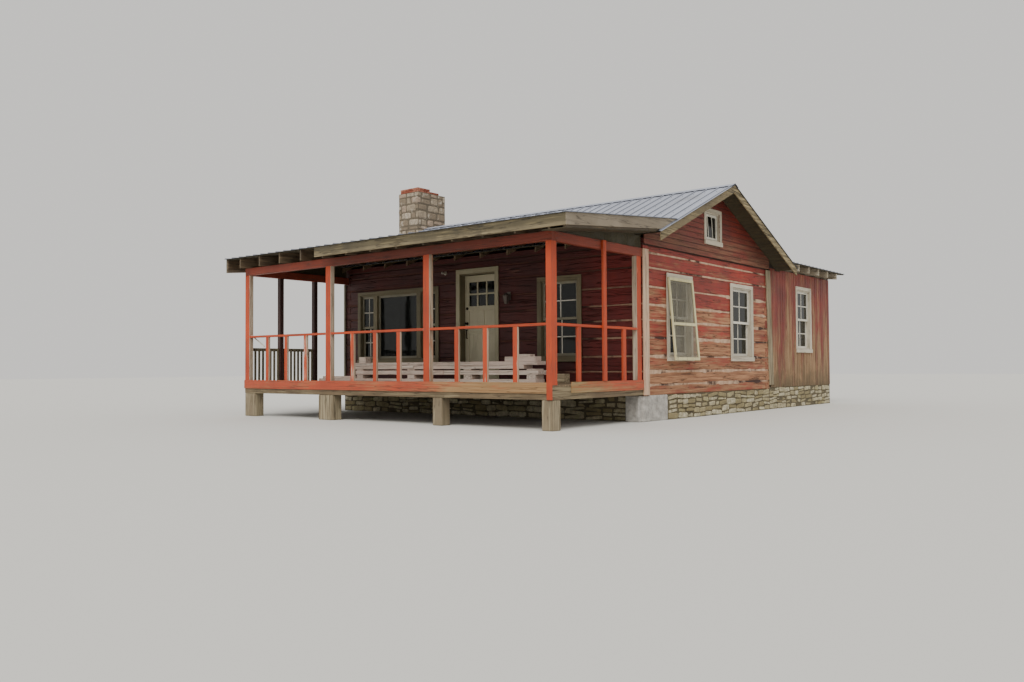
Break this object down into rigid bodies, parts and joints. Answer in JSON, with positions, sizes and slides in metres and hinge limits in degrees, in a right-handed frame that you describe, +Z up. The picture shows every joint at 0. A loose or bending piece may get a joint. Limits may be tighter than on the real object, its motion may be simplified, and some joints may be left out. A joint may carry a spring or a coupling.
{
  "type": "log cabin",
  "caption": "Small log cabin with a long railed front porch, ribbed metal gable roof, stone chimney, rear plank wing and a hinged front door.",
  "frame": {"origin": "on the ground, under the middle of the whole building's box", "axes": "+X right along the ridge, +Y from the porch to the rear wing, +Z up"},
  "size_m": [8.57, 11.8768, 5.22],
  "materials": {
    "log_red": "worn barn-red paint on hewn logs",
    "chinking": "pale lime mortar, rough",
    "rubble_stone": "rough rubble stone in mortar",
    "chimney_stone": "rough field stone in mortar",
    "old_brick": "broken old brick",
    "floor_boards": "worn floor boards",
    "bare_wood": "bare aged timber",
    "siding_red": "worn barn-red paint on boards",
    "roof_metal": "ribbed galvanised sheet, dull",
    "weathered_wood": "grey weathered timber",
    "porch_red": "orange-red paint, worn",
    "trim_white": "off-white paint, weathered",
    "window_glass": "clear old glass",
    "door_paint": "cream paint, worn",
    "dark_metal": "dark tarnished metal",
    "storm_cream": "cream paint, worn",
    "screen_mesh": "fine wire screen",
    "concrete": "pale rough concrete"
  },
  "bodies": {
    "cabin": {"chimney": "chimney_stone", "chimney_cap": "old_brick", "chinking": "chinking", "corner_block": "concrete", "corner_board": "weathered_wood", "end_pickets": "weathered_wood", "floor_joists": "bare_wood", "floors": "floor_boards", "foundation_walls": "rubble_stone", "front_wall_logs": "log_red", "gable_siding": "siding_red", "head_casings": "trim_white", "heads_and_sills": "trim_white", "hinge_jamb_leaves": "dark_metal", "kick_boards": "porch_red", "left_wall_logs": "log_red", "main_rafters": "bare_wood", "porch_beams": "porch_red", "porch_bench": "weathered_wood", "porch_deck": "weathered_wood", "porch_fascias": "weathered_wood", "porch_lantern": "dark_metal", "porch_piers": "weathered_wood", "porch_posts": "porch_red", "porch_rafters": "bare_wood", "porch_railing": "porch_red", "porch_rims": "weathered_wood", "porch_soffit": "bare_wood", "rake_boards": "weathered_wood", "rear_wall_logs": "log_red", "ridge_cap": "roof_metal", "right_wall_logs": "log_red", "roof_boards": "bare_wood", "roof_sheets": "roof_metal", "side_casings": "trim_white", "side_jambs": "trim_white", "storm_sash": "storm_cream", "storm_screen": "screen_mesh", "wall_plates": "log_red", "window_glass": "window_glass", "window_sashes": "trim_white", "wing_rafters": "bare_wood", "wing_walls": "siding_red"},
    "door": {"door_glass": "window_glass", "door_hardware": "dark_metal", "door_slab": "door_paint", "hinge_door_leaves": "dark_metal"}
  },
  "joints": [
    {"name": "front_door_hinge", "type": "hinge", "parent": "cabin", "child": "door", "pos_m": [0.6499, -2.9445, 1.675], "axis": [0, 0, -1], "range_deg": [0, 95]}
  ]
}
